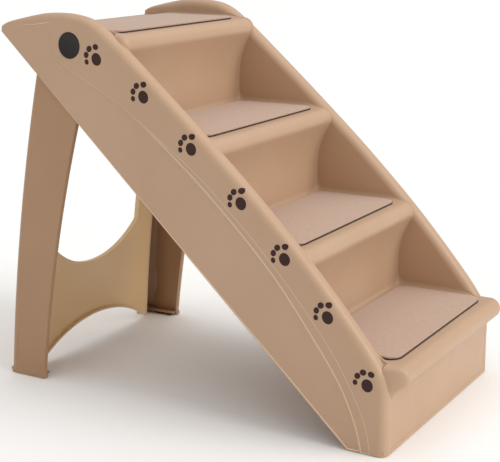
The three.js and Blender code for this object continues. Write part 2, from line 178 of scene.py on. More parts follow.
felt = {
    "light": "#be9f89", "deep": "#b19079",
    "clumpSize": 5.0,  # mm, tufts that the needles leave
    "fibreSize": 1.1,  # mm, fibres are about 0.03 thick, drawn as bundles that can be seen
    "lays": ((0.5, 4.0), (2.1, 4.5)),  # the fibres lie two ways: turn, and length to width
}


def needleFelt():
    # polyester needle felt: matt and slightly furry, with short crossing fibres
    kit = felt
    material, tree, shader, where = startMaterial("needleFelt", 0.95)
    clump = addNode(tree, "ShaderNodeTexNoise", {
        "Vector": where, "Scale": perMetre(kit["clumpSize"]), "Detail": 4.0})
    fibres = []
    for turn, stretch in kit["lays"]:
        way = addNode(tree, "ShaderNodeMapping", {
            "Vector": where, "Rotation": (0, 0, turn), "Scale": (1.0, stretch, 1.0)})
        fibres.append(addNode(tree, "ShaderNodeTexNoise", {
            "Vector": way.outputs["Vector"], "Detail": 2.0, "Distortion": 0.6,
            "Scale": perMetre(kit["fibreSize"]) / 4}))
    lay = addNode(tree, "ShaderNodeMath", {0: fibres[0].outputs["Fac"], 1: fibres[1].outputs["Fac"]},
                  operation="MAXIMUM")
    mottle = addNode(tree, "ShaderNodeMath", {0: lay.outputs[0], 1: clump.outputs["Fac"]},
                     operation="MULTIPLY")
    spread = addNode(tree, "ShaderNodeMapRange", {
        "Value": mottle.outputs[0], "From Min": 0.12, "From Max": 0.45})
    twoTone(tree, shader, spread.outputs["Result"], kit["deep"], kit["light"])
    nap = addNode(tree, "ShaderNodeBump", {"Height": mottle.outputs[0], "Strength": 0.7, "Distance": 0.0006})
    tree.links.new(nap.outputs["Normal"], shader.inputs["Normal"])
    shader.inputs["Sheen Weight"].default_value = 0.25
    shader.inputs["Sheen Roughness"].default_value = 0.6
    return material


def grainyMaterial(name, light, deep, roughness, grainSize, depth, ior=1.5, metallic=0.0):
    # the small parts' finishes: two close tones and a grain, all in real sizes
    material, tree, shader, where = startMaterial(name, roughness, ior, metallic)
    grain = addNode(tree, "ShaderNodeTexNoise", {
        "Vector": where, "Scale": perMetre(grainSize), "Detail": 3.0})
    twoTone(tree, shader, grain.outputs["Fac"], deep, light)
    polish = addNode(tree, "ShaderNodeMapRange", {
        "Value": grain.outputs["Fac"], "To Min": roughness - 0.06, "To Max": roughness + 0.08})
    tree.links.new(polish.outputs["Result"], shader.inputs["Roughness"])
    bump = addNode(tree, "ShaderNodeBump", {
        "Height": grain.outputs["Fac"], "Strength": 0.4, "Distance": depth / 1000})
    tree.links.new(bump.outputs["Normal"], shader.inputs["Normal"])
    return material


tanPlastic = mouldedPolypropylene("mouldedPolypropylene", polypropylene["light"], polypropylene["deep"])
# painted shade: a darker copy of the plastic for the leg's arms and hubs
paintedShadeLegPlastic = mouldedPolypropylene("paintedShadeLegPolypropylene", polypropylene["shadedLegLight"], polypropylene["shadedLegDeep"])
# painted light: a much paler copy of the plastic for the leg's cross panel
paintedLightPanelPlastic = mouldedPolypropylene("paintedLightPanelPolypropylene", polypropylene["paintedLitLight"], polypropylene["paintedLitDeep"])
# painted highlight: a paler copy of the plastic for shell rims and the raised field's step walls
paintedHighlightPlastic = mouldedPolypropylene("paintedHighlightPolypropylene", polypropylene["highlightLight"], polypropylene["highlightDeep"])
tanFelt = needleFelt()
# calendered SBR rubber: dull, nearly black, faintly pitted
backingRubber = grainyMaterial("calenderedRubber", "#3a302d", "#2a2220", 0.8, 1.6, 0.12, ior=1.52)
# thermoplastic rubber soles: dull and a little dusty
soleRubber = grainyMaterial("solePadRubber", "#4a4441", "#332e2c", 0.85, 2.2, 0.15, ior=1.52)
# moulded ABS, near black: a clear soft gloss with a trace of orange peel
buttonPlastic = grainyMaterial("mouldedAbs", "#1a1012", "#130b0c", 0.5, 2.5, 0.03, ior=1.46)
# glass-filled nylon: satin, with the fibres' fine mottling
gearNylon = grainyMaterial("glassFilledNylon", "#2e2e33", "#232327", 0.5, 1.2, 0.04, ior=1.53)
# bright zinc plate on drawn steel: a soft grey shine with a crystalline haze
zincSteel = grainyMaterial("zincPlatedSteel", "#c9ccd0", "#a9adb4", 0.33, 1.4, 0.02, metallic=1.0)
# screen-printed brown ink: matt, slightly rough film over the plastic
printInk = grainyMaterial("screenPrintInk", "#381610", "#2d0f0a", 0.7, 0.8, 0.02, ior=1.48)
print("materials made")


studio = {
    "eye": (-1.4737, -0.8518, 0.6382), "heading": 30.24, "down": 14.09, "lens": 89.8,
    "floor": "#fbfaf8", "floorRadius": 14.0,
    "skyStrength": 0.5,
    "lights": {  # where each comes from, its power and how wide it is in degrees
        "keyLight": ((0.25, -2.4, 1.5), 1.4, 40),
        "topLight": ((0.3, -0.3, 4.0), 1.1, 90),
    },
}


def softSun(name, place, power, spread):
    # even light from the direction of place, soft like a wide box far off
    light = bpy.data.lights.new(name, "SUN")
    light.energy = power
    light.angle = math.radians(spread)
    lamp = bpy.data.objects.new(name, light)
    lamp.location = place
    lamp.rotation_euler = Vector(place).to_track_quat("Z", "Y").to_euler()
    bpy.context.scene.collection.objects.link(lamp)


def setUpStudio():
    scene = bpy.context.scene
    camera = bpy.data.cameras.new("camera")
    camera.lens = studio["lens"]
    camera.sensor_width = 36.0
    eye = bpy.data.objects.new("camera", camera)
    turn, down = math.radians(studio["heading"]), math.radians(studio["down"])
    look = Vector((math.cos(turn) * math.cos(down), math.sin(turn) * math.cos(down), -math.sin(down)))
    eye.location = studio["eye"]
    eye.rotation_euler = look.to_track_quat("-Z", "Y").to_euler()
    scene.collection.objects.link(eye)
    scene.camera = eye
    scene.view_settings.view_transform = "Standard"

    bm = bmesh.new()
    bmesh.ops.create_circle(bm, cap_ends=True, segments=64, radius=studio["floorRadius"])
    mesh = bpy.data.meshes.new("studioFloor")
    bm.to_mesh(mesh)
    bm.free()
    floor = bpy.data.objects.new("studioFloor", mesh)
    scene.collection.objects.link(floor)
    # seamless background paper: matt and nearly white
    paper, _, shader, _ = startMaterial("backgroundPaper", 0.9)
    shader.inputs["Base Color"].default_value = toLinear(studio["floor"])
    mesh.materials.append(paper)

    world = bpy.data.worlds.new("studioWorld")
    world.use_nodes = True
    background = world.node_tree.nodes["Background"]
    background.inputs["Color"].default_value = (1.0, 1.0, 1.0, 1.0)
    background.inputs["Strength"].default_value = studio["skyStrength"]
    scene.world = world
    for name, (place, power, spread) in studio["lights"].items():
        softSun(name, place, power, spread)


setUpStudio()
print("studio set up")


def keepPiece(name, bm, body, coat, replaced=(), sharp=34, highlightCoat=None):
    bmesh.ops.scale(bm, vec=(0.001, 0.001, 0.001), verts=bm.verts)
    mesh = bpy.data.meshes.new(name)
    bm.to_mesh(mesh)
    bm.free()
    mesh.shade_smooth()
    mesh.set_sharp_from_angle(angle=math.radians(sharp))
    mesh.materials.append(coat)
    # painted highlight: an optional second, paler coat for rims and step walls
    if highlightCoat:
        mesh.materials.append(highlightCoat)
    piece = bpy.data.objects.new(name, mesh)
    bpy.context.scene.collection.objects.link(piece)
    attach(piece, body)
    if replaced:
        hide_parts(*replaced)
    return piece


def giveWall(piece, wall, rim):
    # an open skin gets its wall on the inside, and its edges a small round
    solidify = piece.modifiers.new("wall", "SOLIDIFY")
    solidify.thickness = wall / 1000
    solidify.offset = -1.0
    # painted highlight: the wall's rims take the last coat, the paler copy
    solidify.material_offset_rim = len(piece.data.materials) - 1
    bevel = piece.modifiers.new("edges", "BEVEL")
    bevel.width = rim / 1000
    bevel.segments = 2
    bevel.limit_method = "ANGLE"
    bevel.angle_limit = math.radians(40)
    bevel.harden_normals = True


def openLine(bm, points):
    # a wire through the points
    verts = [bm.verts.new(point) for point in points]
    for a, b in zip(verts, verts[1:]):
        bm.edges.new((a, b))
    return verts


def pullLine(bm, verts, points):
    # the wire is extruded, and its new end laid on the points
    wire = [bm.edges.get((a, b)) for a, b in zip(verts, verts[1:])]
    made = bmesh.ops.extrude_edge_only(bm, edges=wire)["geom"]
    faces = [g for g in made if isinstance(g, bmesh.types.BMFace)]
    fresh = {g for g in made if isinstance(g, bmesh.types.BMVert)}
    follows = {}
    for edge in {e for face in faces for e in face.edges}:
        a, b = edge.verts
        if (a in fresh) != (b in fresh):
            follows[b if a in fresh else a] = a if a in fresh else b
    ring = [follows[v] for v in verts]
    for vert, point in zip(ring, points):
        vert.co = point
    return ring


def mirrorAcross(bm):
    bmesh.ops.mirror(bm, geom=bm.verts[:] + bm.edges[:] + bm.faces[:], axis="X", merge_dist=0.001)
    bmesh.ops.remove_doubles(bm, verts=bm.verts, dist=0.005)
    bmesh.ops.recalc_face_normals(bm, faces=bm.faces)


def faceWay(bm, test, way):
    # turn the whole skin if the face nearest to a point looks the wrong way
    face = min(bm.faces, key=lambda f: (f.calc_center_median() - Vector(test)).length)
    if face.normal.dot(Vector(way)) < 0:
        bmesh.ops.reverse_faces(bm, faces=bm.faces)


def spinPiece(bm, profile, steps=48):
    # pairs of x and radius, turned about the buttons' axis
    before = set(bm.verts)
    verts = openLine(bm, [(x, pivot.y, pivot.z + radius) for x, radius in profile])
    wire = [bm.edges.get((a, b)) for a, b in zip(verts, verts[1:])]
    bmesh.ops.spin(bm, geom=verts + wire, cent=(0, pivot.y, pivot.z), axis=(1, 0, 0),
                   angle=2 * math.pi, steps=steps, use_merge=True)
    made = [v for v in bm.verts if v not in before]
    bmesh.ops.remove_doubles(bm, verts=made, dist=0.002)
    faces = {f for v in made if v.is_valid for f in v.link_faces}
    bmesh.ops.recalc_face_normals(bm, faces=list(faces))


def newVerts(made):
    return [g for g in made["geom"] if isinstance(g, bmesh.types.BMVert)]


def addBlock(bm, low, high, edge=0.4):
    size = [b - a for a, b in zip(low, high)]
    middle = [(a + b) / 2 for a, b in zip(low, high)]
    move = Matrix.Translation(middle) @ Matrix.Diagonal((*size, 1))
    made = bmesh.ops.create_cube(bm, size=1.0, matrix=move)["verts"]
    edges = list({e for v in made for e in v.link_edges})
    bmesh.ops.bevel(bm, geom=edges, offset=edge, segments=2, profile=0.5, affect="EDGES", material=-1)


def onOtherSide(bm):
    bmesh.ops.scale(bm, vec=(-1, 1, 1), verts=bm.verts)
    bmesh.ops.reverse_faces(bm, faces=bm.faces)


# the steps are one bent sheet of risers, rolled nosings and treads
steps = {
    "wall": 3.0, "rim": 0.4,
    "half": 155.0,  # to the side panels' inner faces
    "stations": (46.0, 92.0, 130.0),  # across the sheet
    "endRun": 2.4,  # the sheet ends this far inside the panels' wall
    "nosing": 14.0, "nosingReach": 22.0,
    "coves": (30.0, 120.0, 120.0, 120.0),  # the upper risers sweep forward into their nosings
    "footFillet": 8.5,  # where a tread turns up into the next riser
    "sideFillet": 9.0,  # the treads turn up by this much into the side panels
    "riserShare": 0.2,  # and the risers turn forward by this part of it
    "deckRear": 577.0, "deckCurl": 6.0,  # the top tread's rear edge, behind the lowest riser
    "frontEnd": 173.0, "frontRound": 12.0,  # rounded ends of the lowest nosing
    "endBack": 10.0,  # they close this far behind the riser's face, inside the panels
    "endLow": 85.0, "endSquash": 0.7,  # above this height they also draw in
    "baseBead": 1.0,
    "nosingRound": 11.0,  # rounded ends of the other nosings, inside the panels' rolled edges
    "treadPlaces": (-4, 0, 4, 9, 15, 24, 40, 80),  # behind a riser's face
    "deckEase": (115, 125, 135, 150),  # the deck's side turn-up dies out over these
}


def stepPath(out):
    # the sheet's outer face in the Y-Z plane, moved outwards, with how much each point joins the side fillet
    path = []
    kit = steps
    fore = out * kit["riserShare"]
    for k in range(4):
        riser, tread = risers[k], treads[k]
        front = out if k == 0 else fore
        share = 0.0 if k == 0 else 1.0
        nosing = (riser - kit["nosingReach"] + kit["nosing"], tread - kit["nosing"])
        cove = kit["coves"][k]
        coveY = riser - cove
        ahead = nosing[0] - coveY
        drop = math.sqrt((kit["nosing"] + cove) ** 2 - ahead ** 2)
        meet = math.degrees(math.atan2(drop, ahead))
        if k == 0:
            bead = kit["baseBead"]
            for y, z in ((-bead, baseZ), (-bead, baseZ + 3.6), (-bead * 0.7, baseZ + 4.4), (0, baseZ + 5.4)):
                path.append((Vector((riser + y - out, z)), 0.0))
        for i in range(12):
            path.append((around((coveY, nosing[1] - drop), cove - front, meet * i / 12), share))
        for i in range(17):
            path.append((around(nosing, kit["nosing"] + front, meet - 180 - (meet + 90) * i / 16), share))
        if k == 3:
            break
        for back in kit["treadPlaces"]:
            place = Vector((riser + back, tread + out))
            if k == 0:
                path.append((place, smoothStep(back, 8, 26)))
            else:
                path.append((place, kit["riserShare"] + (1 - kit["riserShare"]) * smoothStep(back, -8, 18)))
        fillet = kit["footFillet"] + 0.5 * out
        for i in range(9):
            turn = -90 + 90 * i / 8
            path.append((around((risers[k + 1] - fore - fillet, tread + out + fillet), fillet, turn), 1.0))
    deck, rear = treads[3], risers[0] + kit["deckRear"]
    easeStart, easeEnd = kit["deckEase"][0], kit["deckEase"][-1]
    for back in kit["treadPlaces"] + kit["deckEase"]:
        share = kit["riserShare"] + 0.6 * smoothStep(back, -8, 18)
        share *= 1 - smoothStep(back, easeStart, easeEnd)
        path.append((Vector((risers[3] + back, deck + out)), share))
    curl = kit["deckCurl"]
    for i in range(7):
        path.append((around((rear - curl, deck - curl), curl + out, 90 - 90 * i / 6), 0.0))
    path.append((Vector((rear + out, deck - curl - 4)), 0.0))
    return path


def makeSteps():
    kit = steps
    flat, moved = stepPath(0.0), stepPath(1.0)

    def station(x, out):
        return [(x, *(a + (b - a) * share * out)) for (a, share), (b, _) in zip(flat, moved)]

    bm = bmesh.new()
    line = openLine(bm, station(0.0, 0.0))
    fillet = kit["sideFillet"]
    inner = kit["half"] - fillet
    for x in (*kit["stations"], inner):
        line = pullLine(bm, line, station(x, 0.0))
    for i in range(1, 8):
        turn = math.radians(90 * i / 7)
        line = pullLine(bm, line, station(inner + fillet * math.sin(turn), fillet * (1 - math.cos(turn))))
    front = next(i for i, (point, _) in enumerate(flat) if point.x > risers[0] + 8.5)
    # behind the lowest nosing the sheet ends inside the panels' wall
    endX = kit["half"] + kit["endRun"]
    last = pullLine(bm, line[front:], station(endX, fillet)[front:])
    for k in range(1, 4):
        # each nosing runs on into the panels' rolled edge, to a rounded end
        nosing = Vector((risers[k] - kit["nosingReach"] + kit["nosing"], treads[k] - kit["nosing"]))
        near = [i for i, (point, _) in enumerate(flat) if (point - nosing).length < kit["nosing"] + 1]
        near = range(near[0], near[-1] + 1)
        ring = [last[i - front] for i in near]
        start = [Vector(v.co.yz) for v in ring]
        for i in range(1, 8):
            turn = math.radians(90 * i / 7)
            x = endX + kit["nosingRound"] * math.sin(turn)
            inset = (kit["nosing"] - 0.4) * (1 - math.cos(turn))
            rounded = [point + (nosing - point).normalized() * inset for point in start]
            ring = pullLine(bm, ring, [(x, *point) for point in rounded])
    # the lowest riser and nosing run on in front of the panels, and round back into their front edges
    line = line[:front + 1]
    start = [point for point, _ in flat[:front + 1]]
    low = kit["endLow"]
    target = [Vector((risers[0] + kit["endBack"], z if z < low else low + (z - low) * kit["endSquash"]))
              for _, z in start]
    end, roundness = kit["frontEnd"], kit["frontRound"]
    line = pullLine(bm, line, [(end - roundness, *point) for point in start])
    for i in range(1, 11):
        turn = math.radians(90 * i / 10)
        part = 1 - math.cos(turn)
        line = pullLine(bm, line, [(end - roundness * (1 - math.sin(turn)), *point.lerp(aim, part))
                                   for point, aim in zip(start, target)])
    mirrorAcross(bm)
    faceWay(bm, (0, risers[1] + 60, treads[1]), (0, 0, 1))
    piece = keepPiece("stepMoulding", bm, "stair", tanPlastic, ["stair_body"], highlightCoat=paintedHighlightPlastic)
    giveWall(piece, kit["wall"], kit["rim"])


makeSteps()
print("steps made")


# side panels are hollow channels, open below, with a raised field on the outer face
panels = {
    "inner": 155.0,
    "roll": 11.0,  # round of the front and top edge
    "band": 118.0,  # depth below the line through the risers' tops
    "wall": 3.0, "edgeRound": 0.45,
    "tailEnd": 576.0,  # blunt rear tip, behind the lowest riser
    "hole": 17.5,  # for the button
    "rim": 1.5, "slope": 1.1, "recess": 1.2,  # the low field's border, its step and its depth
    "bandRecess": 0.7,
    "edge": [  # the front and top edge: places in front of the top riser are on the pitch line
        (-0.1, -20.5), (0.04, -9), (0.31, -0.8), (0.85, 8.6), (1.45, 12), (2, 10.5), (2.57, 6.6)],
    "hump": [(-65.6, 11.1), (-34, 32.1), (-6, 39.1), (22, 40.6), (53, 38.1), (99, 27.6)],  # from the pivot
    "lowLine": [  # lower border of the raised field, from the pivot round the button, then on the pitch line
        (24.9, 25.5), (27.4, 5.6), (25.7, -7.1), (19.6, -17.6), (2.9, -28.6), (-31.4, -45.7)],
    "lowRun": [(2.543, -46.7), (1.919, -36.4), (1.5, -34.2), (1.112, -36.1), (0.777, -42.5), (0.256, -60),
               (0.051, -71), (-0.151, -87.8)],
    "highRun": [(1.886, -28.8), (1.5, -26.2), (1.16, -26.6), (0.734, -32.3), (0.348, -42.5), (0.118, -53.4),
                (-0.077, -65.9), (-0.209, -77.9)],
    "lowBase": 32.0, "highBase": 19.0,  # where both lines meet the base, behind the lowest riser
}


def panelEdge():
    kit = panels
    points = [(risers[0] - 1, baseZ), (risers[0] - 0.5, baseZ + 47)]
    points += [onPitch(*p) for p in kit["edge"]]
    points += [(pivot.y + y, pivot.z + z) for y, z in kit["hump"]]
    points.append((risers[0] + kit["tailEnd"], treads[3] + 5.4))
    return smoothLine(points, 5)


def stepBack(bm, face, border, slope, depth, share):
    # a flat border, then a sloping step down to the field
    for thickness, sink in ((border, 0.0), (slope, depth)):
        if not thickness:
            continue
        ring = [v.co.copy() for v in face.verts]
        turns = sum(a.y * b.z - b.y * a.z for a, b in zip(ring, ring[1:] + ring[:1]))
        way = 1 if turns > 0 else -1
        bmesh.ops.inset_individual(bm, faces=[face], thickness=0.0001, depth=0.0)
        for i, vert in enumerate(face.verts):
            here = ring[i].yz
            before, after = here - ring[i - 1].yz, ring[(i + 1) % len(ring)].yz - here
            before, after = before.normalized(), after.normalized()
            inward = Vector((-before.y - after.y, before.x + after.x))
            inward *= way / max(inward.length_squared / 2, 0.5)
            part = share(here)
            vert.co = (ring[i].x - sink * part, *(here + inward * thickness * part))
        # painted highlight: the step's walls get the second, paler coat
        if sink:
            for edge in face.edges:
                for other in edge.link_faces:
                    if other is not face:
                        other.material_index = 1


def makePanel(name, side):
    kit = panels
    edge = panelEdge()
    ends = [edge[0], *edge, edge[-1]]
    tangents = [(b - a).normalized() for a, b in zip(ends, ends[2:])]
    rolls = [kit["roll"] * (0.22 + 0.78 * smoothStep((edge[-1] - point).length, 0, 60)) for point in edge]

    def station(turn, outer):
        # turn is 0 where the roll leaves a face, and 90 at its crest
        points = []
        s, c = math.sin(math.radians(turn)), math.cos(math.radians(turn))
        for point, tangent, roll in zip(edge, tangents, rolls):
            inset = roll * (1 - s)
            x = panelOut - roll * (1 - c) if outer else kit["inner"] + roll * (1 - c)
            points.append((x, point.x + tangent.y * inset, max(point.y - tangent.x * inset, baseZ)))
        return points

    bm = bmesh.new()
    line = openLine(bm, station(0, False))
    innerLine = line
    turns = [90 * i / 8 for i in range(1, 9)]
    for turn in turns:
        line = pullLine(bm, line, station(turn, False))
    for turn in reversed(turns):
        line = pullLine(bm, line, station(turn, True))
    outerLine = pullLine(bm, line, station(0, True))

    # outer wall, from the roll to the underside
    under = -kit["band"]
    tail = edge[-1]
    foot = onPitch(0, under)
    tailUnder = onPitch((tail.x - foot[0]) / going, under)
    baseRear = onPitch((baseZ - foot[1]) / rise, under)

    def outerVert(y, z):
        return bm.verts.new((panelOut, y, z))

    lowEnd = outerVert(risers[0] + kit["lowBase"], baseZ)
    highEnd = outerVert(risers[0] + kit["highBase"], baseZ)
    border = [outerVert(*tailUnder), outerVert(*baseRear), lowEnd, highEnd]
    outer = bm.faces.new(outerLine + border)
    outer.normal_update()

    def splitAlong(face, a, b, points):
        bmesh.utils.face_split(face, a, b, coords=[(panelOut, p[0], p[1]) for p in points])

    runPoints = [(pivot.y + y, pivot.z + z) for y, z in kit["lowLine"]] + [onPitch(*p) for p in kit["lowRun"]]

    def nearestTo(verts, behind, above):
        # the one nearest to a place given from the pivot
        return min(verts, key=lambda v: (v.co.yz - Vector((pivot.y + behind, pivot.z + above))).length)

    topVert = nearestTo(outerLine, 20, 34)
    low = smoothLine([topVert.co.yz, *runPoints, (risers[0] + kit["lowBase"], baseZ)], 4)[1:-1]
    splitAlong(outer, topVert, lowEnd, low)
    forkPlace = Vector(onPitch(*kit["lowRun"][0]))
    lowVerts = [v for v in bm.verts
                if abs(v.co.x - panelOut) < 1e-4 and v not in outerLine and v not in border]
    fork = min(lowVerts, key=lambda v: (v.co.yz - forkPlace).length)
    field = next(f for f in fork.link_faces if highEnd in f.verts)
    high = smoothLine([fork.co.yz, *[onPitch(*p) for p in kit["highRun"]],
                       (risers[0] + kit["highBase"], baseZ)], 4)[1:-1]
    splitAlong(field, fork, highEnd, high)

    # hole for the button: the field is cut over the top of it, then under it
    frontVert = nearestTo(outerLine, -40, 14)
    rearVert = nearestTo(lowVerts, 27, 0)
    field = next(f for f in frontVert.link_faces if rearVert in f.verts and topVert in f.verts)
    circle = [around((pivot.y, pivot.z), kit["hole"], 360 * i / 48) for i in range(48)]
    splitAlong(field, rearVert, frontVert, circle[0:25])
    holeRear = min(bm.verts, key=lambda v: (v.co - Vector((panelOut, *circle[0]))).length)
    holeFront = min(bm.verts, key=lambda v: (v.co - Vector((panelOut, *circle[24]))).length)
    lowerField = next(f for f in holeRear.link_faces if holeFront in f.verts and topVert not in f.verts)
    splitAlong(lowerField, holeRear, holeFront, list(reversed(circle[25:])))
    disc = min((f for f in holeRear.link_faces if holeFront in f.verts), key=lambda f: f.calc_area())
    bmesh.ops.delete(bm, geom=[disc], context="FACES_ONLY")

    # the low field and the band between both lines step back, less towards their sharp ends
    lowField = next(f for f in border[0].link_faces if border[1] in f.verts)
    band = next(f for f in lowEnd.link_faces if highEnd in f.verts)
    topEnd, forkEnd, tailEnd = topVert.co.yz, fork.co.yz, outerLine[-1].co.yz
    stepBack(bm, lowField, kit["rim"], kit["slope"], kit["recess"],
             lambda p: smoothStep((p - tailEnd).length, 4, 90) * smoothStep((p - topEnd).length, 0, 25))
    stepBack(bm, band, 0.0, kit["slope"], kit["bandRecess"],
             lambda p: smoothStep((p - forkEnd).length, 0, 70))

    # inner wall: what shows above each tread, its lower border inside the step sheet
    def innerVert(y, z):
        return bm.verts.new((kit["inner"], y, z))

    def nearestMark(k):
        centre = Vector((risers[k] - steps["nosingReach"] + steps["nosing"], treads[k] - steps["nosing"]))
        return min(range(len(innerLine)), key=lambda i: (innerLine[i].co.yz - centre).length)

    marks = [nearestMark(k) for k in range(4)]
    half = kit["wall"] / 2
    for k in range(4):
        last = marks[k + 1] if k < 3 else len(innerLine) - 1
        run = innerLine[marks[k]:last + 1]
        if k < 3:
            rear = risers[k + 1] + half
            back = [innerVert(rear, treads[k + 1] - 15), innerVert(rear, treads[k] - half)]
        else:
            back = [innerVert(tail.x, treads[3] - half)]
        front = [innerVert(risers[k] + 40, treads[k] - half)]
        bm.faces.new(run + back + front)

    bmesh.ops.remove_doubles(bm, verts=bm.verts, dist=0.02)
    bmesh.ops.dissolve_degenerate(bm, dist=0.01, edges=bm.edges)
    bmesh.ops.recalc_face_normals(bm, faces=bm.faces)
    faceWay(bm, (panelOut, pivot.y - 40, pivot.z), (1, 0, 0))
    if side < 0:
        onOtherSide(bm)
    piece = keepPiece(name, bm, "stair", tanPlastic, sharp=60, highlightCoat=paintedHighlightPlastic)
    giveWall(piece, kit["wall"], kit["edgeRound"])
    shade = piece.modifiers.new("flatFaces", "WEIGHTED_NORMAL")
    shade.keep_sharp = True


makePanel("sidePanelRight", 1)
makePanel("sidePanelLeft", -1)
print("side panels made")

# inside the body: ribs under the treads, ears and sockets for the leg, plates on the rubber feet
inside = {
    "ribs": (-80.0, 0.0, 80.0), "ribThickness": 2.5, "ribDepth": 9.0,
    "earRadius": 30.0, "earHole": 5.1,
    "socketIn": 17.5, "socketOut": 21.5, "socketStart": 168.3, "socketEnd": 178.0,
    "plate": 3.0, "plateLength": 44.0,
}


def makeInside():
    kit = inside
    bm = bmesh.new()
    for k in range(1, 4):
        rear = risers[k + 1] if k < 3 else risers[0] + steps["deckRear"]
        for x in kit["ribs"]:
            addBlock(bm, (x - kit["ribThickness"] / 2, risers[k] + 1.5, treads[k] - 3 - kit["ribDepth"]),
                     (x + kit["ribThickness"] / 2, rear - 1.5, treads[k] - 1.5))
    keepPiece("treadRibs", bm, "stair", tanPlastic)
    footTop = mmBox("front_foot_right")[1].z + gap
    for side, name in ((1, "Right"), (-1, "Left")):
        bm = bmesh.new()
        # the ear is cut off level just under the deck
        spinPiece(bm, [(155.3, kit["earHole"]), (158.0, kit["earHole"]), (158.0, kit["earRadius"] - 0.6),
                       (157.4, kit["earRadius"]), (155.3, kit["earRadius"]), (155.3, kit["earHole"])])
        cut = bmesh.ops.bisect_plane(bm, geom=bm.verts[:] + bm.edges[:] + bm.faces[:], clear_outer=True,
                                     plane_co=(0, 0, treads[3] - 1.6), plane_no=(0, 0, 1))
        edges = [g for g in cut["geom_cut"] if isinstance(g, bmesh.types.BMEdge)]
        bmesh.ops.holes_fill(bm, edges=edges)
        spinPiece(bm, [(kit["socketStart"], kit["socketIn"]), (kit["socketEnd"], kit["socketIn"]),
                       (kit["socketEnd"], kit["socketOut"]), (kit["socketStart"] + 0.5, kit["socketOut"]),
                       (kit["socketStart"], kit["socketOut"] - 0.5), (kit["socketStart"], kit["socketIn"])])
        addBlock(bm, (156.0, risers[0] + 1.5, footTop),
                 (178.5, risers[0] + kit["plateLength"], footTop + kit["plate"]))
        if side < 0:
            onOtherSide(bm)
        keepPiece(f"hubSocket{name}", bm, "stair", tanPlastic)


makeInside()
print("inside of the body made")


# the leg swings: two bowed arms of open section, joined by a cross panel
leg = {
    "wall": 3.0, "edgeRound": 0.45,
    "outer": 175.0, "columnIn": 143.0, "lipIn": 168.0,
    "shoulder": (66.0, -38.0), "frontTop": (-4.0, -101.5),  # from the pivot
    "footRear": 133.0, "footFront": 70.5, "bow": 17.0,
    "columnTop": -0.06,  # the open section starts a little above the shoulder
    "rearRound": 13.0, "frontRound": 2.4, "columnRound": 3.0,
    "panelTop": 11.0, "panelFoot": 18.0,  # cross panel ahead of the arms' rear edges
    "beadHeight": 5.0, "bead": 1.8,  # thicker edge round each foot
    "opening": 150.0, "openingHeight": 281.0, "openingHalf": 105.0, "panelHigh": 425.0,
    "arch": 47.0, "archHalf": 140.0, "flange": 5.0,
    "hubIn": 22.0, "hubOut": 29.0, "hubInnerFace": 158.6, "hubFace": 167.6,
}


def bowed(t, top, foot):
    # a gently bowed edge, from its top to its foot
    control = ((top[0] + foot[0]) / 2 + leg["bow"], (top[1] + foot[1]) / 2)
    return Vector([(1 - t) ** 2 * a + 2 * t * (1 - t) * c + t * t * b for a, c, b in zip(top, control, foot)])


def rearEdge(t):
    top = (pivot.y + leg["shoulder"][0], pivot.z + leg["shoulder"][1])
    return bowed(t, top, (pivot.y + leg["footRear"], baseZ))


def frontEdge(t):
    top = (pivot.y + leg["frontTop"][0], pivot.z + leg["frontTop"][1])
    return bowed(t, top, (pivot.y + leg["footFront"], baseZ))


def rearAtHeight(z):
    low, high = 0.0, 1.0
    for _ in range(30):
        middle = (low + high) / 2
        low, high = (middle, high) if rearEdge(middle).y > z else (low, middle)
    return rearEdge(low).x, low


def armSection(t, bead):
    # across the arm: front lip, web, rounded rear corner, rear wall, side wall
    kit = leg
    front, rear = frontEdge(t), rearEdge(t)
    out, r, f, c = kit["outer"] + bead * 0.3, kit["rearRound"], kit["frontRound"], kit["columnRound"]
    points = [(kit["lipIn"], front.x - bead, front.y)]
    for i in range(5):
        a = math.radians(90 * i / 4)
        points.append((out - f * (1 - math.sin(a)), front.x - bead + f * (1 - math.cos(a)), front.y))
    for share in (0.2, 0.4, 0.6, 0.8):
        between = front.lerp(rear, share)
        points.append((out, between.x, between.y))
    for i in range(9):
        a = math.radians(90 * i / 8)
        points.append((out - r * (1 - math.cos(a)), rear.x + bead - r * (1 - math.sin(a)), rear.y))
    ahead = kit["panelTop"] + (kit["panelFoot"] - kit["panelTop"]) * t
    for i in range(5):
        a = math.radians(90 * i / 4)
        x = kit["columnIn"] + c * (1 - math.sin(a))
        points.append((x, rear.x + bead - c * (1 - math.cos(a)), rear.y))
    points.append((kit["columnIn"], rear.x - ahead, rear.y))
    return points


def makeArm(bm):
    kit = leg
    top = kit["columnTop"]
    line = openLine(bm, armSection(top, 0.0))
    webStart = line[5:11]
    count = 26
    beadStart = 1 - kit["beadHeight"] / 437  # the bead round the foot, as a share of the arm's height
    for i in range(1, count + 1):
        t = top + (beadStart - 0.008 - top) * i / count
        line = pullLine(bm, line, armSection(t, 0.0))
    line = pullLine(bm, line, armSection(beadStart, kit["bead"]))
    pullLine(bm, line, armSection(1.0, kit["bead"]))
    # the round head, which turns in the stair body: its outline closes on the web's first line
    head = [around((pivot.y, pivot.z), kit["hubOut"], 180 - 170 * i / 18) for i in range(19)]
    verts = [bm.verts.new((kit["outer"], *p)) for p in head]
    web = bm.faces.new(verts + list(reversed(webStart)))
    circle = [around((pivot.y, pivot.z), kit["hubIn"], 10 + 360 * i / 40) for i in range(40)]
    a, b = verts[18], verts[0]
    bmesh.utils.face_split(web, a, b, coords=[(kit["outer"], *p) for p in circle[0:21]])
    low = next(f for f in a.link_faces if b in f.verts and webStart[0] in f.verts)
    ends = [min(bm.verts, key=lambda v: (v.co - Vector((kit["outer"], *p))).length)
            for p in (circle[0], circle[20])]
    bmesh.utils.face_split(low, ends[0], ends[1], coords=[(kit["outer"], *p) for p in reversed(circle[21:])])
    disc = min((f for f in ends[0].link_faces if ends[1] in f.verts), key=lambda f: f.calc_area())
    bmesh.ops.delete(bm, geom=[disc], context="FACES_ONLY")


